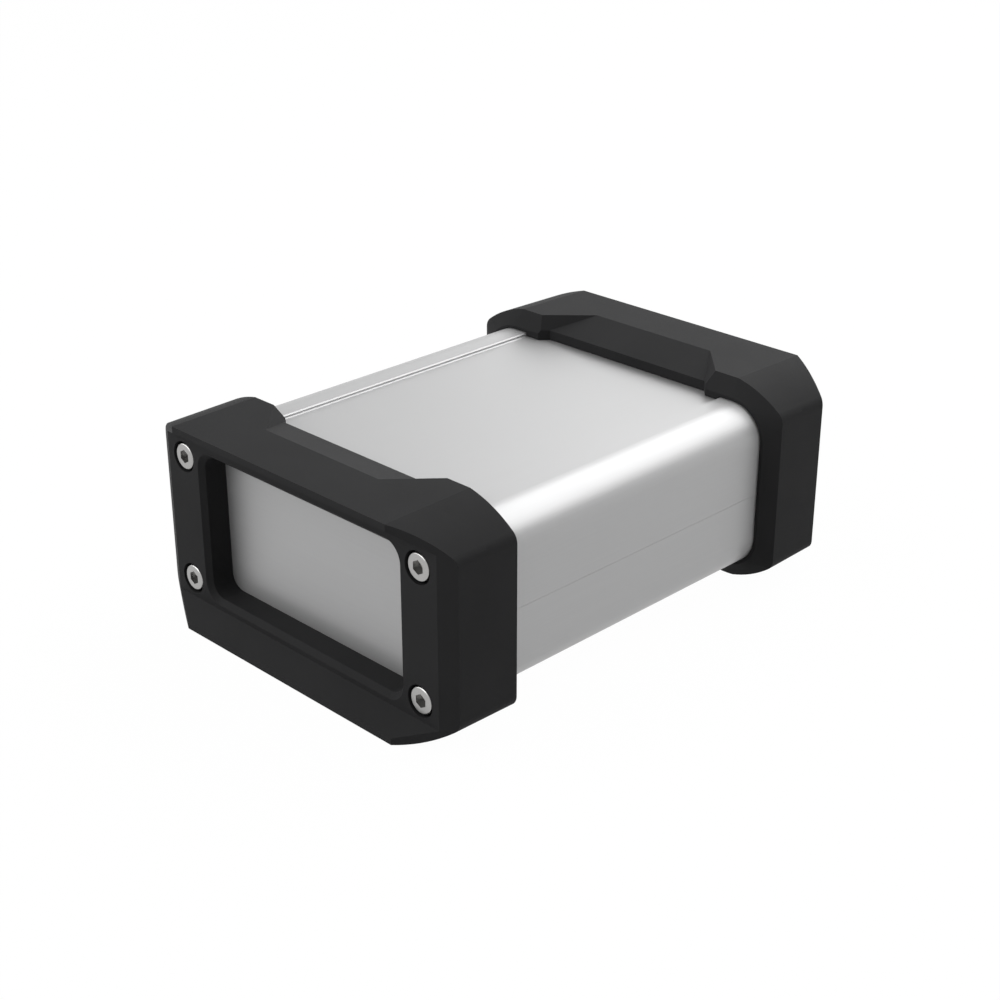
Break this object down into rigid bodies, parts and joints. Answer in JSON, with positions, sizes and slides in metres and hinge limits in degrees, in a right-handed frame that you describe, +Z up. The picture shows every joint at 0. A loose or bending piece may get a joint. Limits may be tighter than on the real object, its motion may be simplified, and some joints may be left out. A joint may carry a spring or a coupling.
{
  "type": "aluminium enclosure",
  "caption": "Split extruded aluminium enclosure with black bumper frames over recessed end panels, held by socket head screws.",
  "frame": {"origin": "under the middle of the enclosure, on the surface that the end frames stand on", "axes": "+Y along the extrusion towards the rear frame, +X across it to the right, +Z up"},
  "size_m": [0.0856, 0.1178, 0.0449],
  "materials": {
    "shell": "satin natural anodised",
    "panel": "satin natural anodised",
    "frame": "matt black",
    "screw": "plain stainless",
    "seal": "matt black"
  },
  "bodies": {
    "root": {"upper_shell": "shell", "lower_shell": "shell", "front_panel": "panel", "rear_panel": "panel", "front_seal": "seal", "rear_seal": "seal", "front_frame": "frame", "rear_frame": "frame", "front_screw_lower_left": "screw", "front_screw_lower_right": "screw", "front_screw_upper_left": "screw", "front_screw_upper_right": "screw", "rear_screw_lower_left": "screw", "rear_screw_lower_right": "screw", "rear_screw_upper_left": "screw", "rear_screw_upper_right": "screw"}
  },
  "joints": []
}
